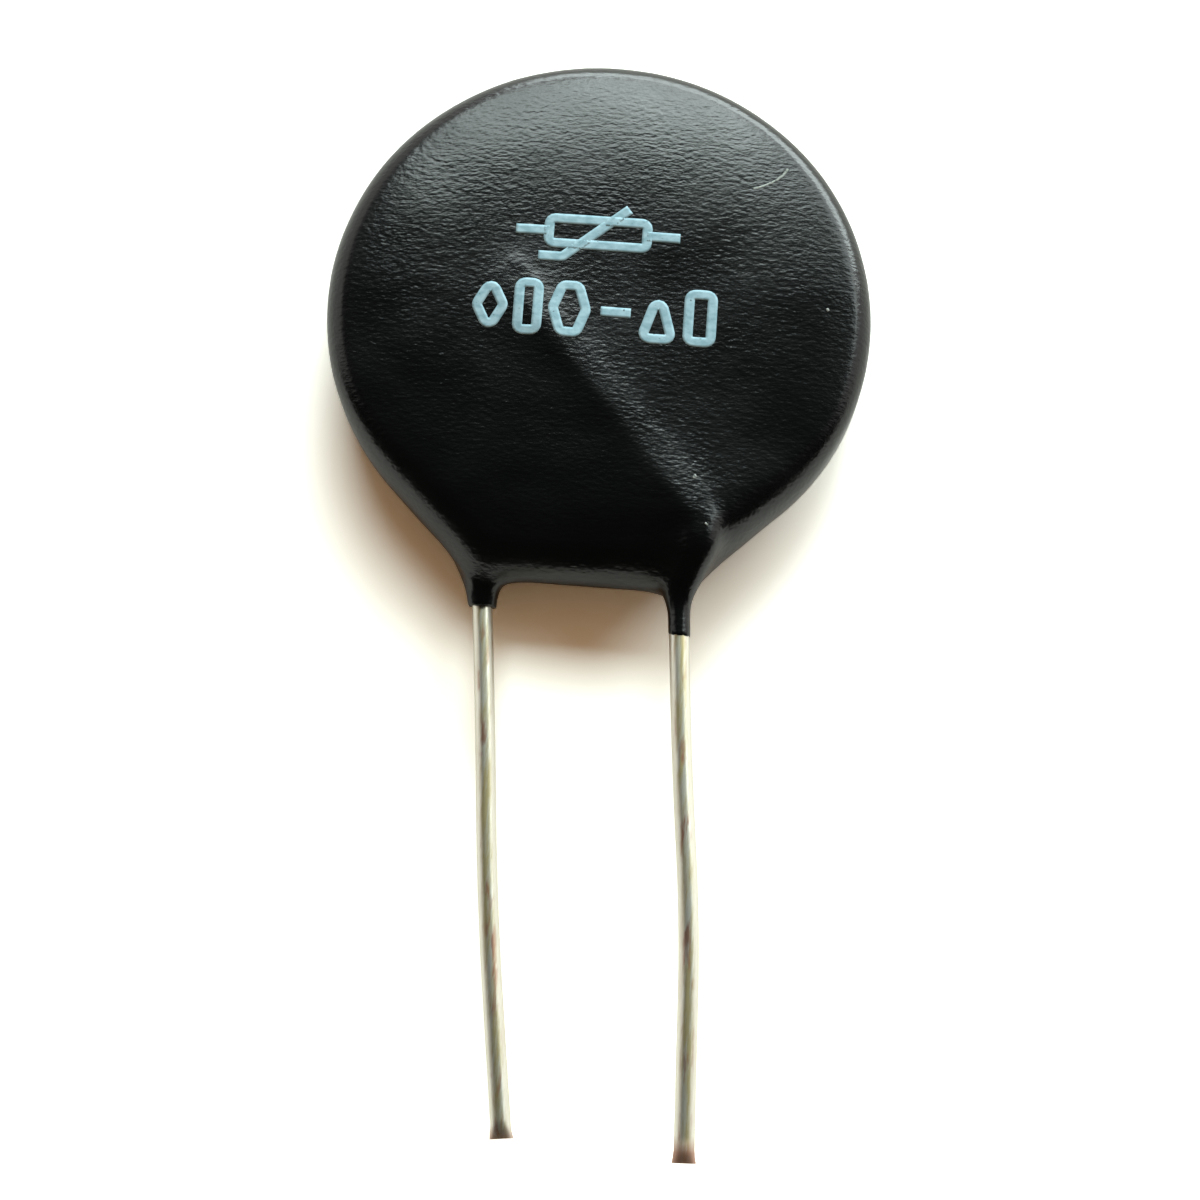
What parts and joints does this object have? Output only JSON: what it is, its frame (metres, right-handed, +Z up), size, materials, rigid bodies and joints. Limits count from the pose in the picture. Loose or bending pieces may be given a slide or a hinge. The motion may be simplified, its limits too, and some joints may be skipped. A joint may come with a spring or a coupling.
{
  "type": "disc thermistor",
  "caption": "Flat round thermistor dipped in black resin, with bare wire leads that leave one edge side by side, for limiting the inrush current on a circuit board.",
  "frame": {"origin": "under the middle of the part's box, at the level of its lowest point as it lies on its back with the disc level", "axes": "+Z up out of the front face, -Y from the disc towards the free ends of the leads, X across the leads"},
  "size_m": [0.0274, 0.0547, 0.0064],
  "materials": {
    "coating": "satin",
    "ceramic": "matte",
    "silver": "satin",
    "solder": "satin",
    "lead": "satin"
  },
  "bodies": {
    "root": {"coating": "coating", "ceramic_disc": "ceramic", "front_electrode": "silver", "back_electrode": "silver", "front_solder": "solder", "back_solder": "solder", "front_lead": "lead", "back_lead": "lead"}
  },
  "joints": []
}
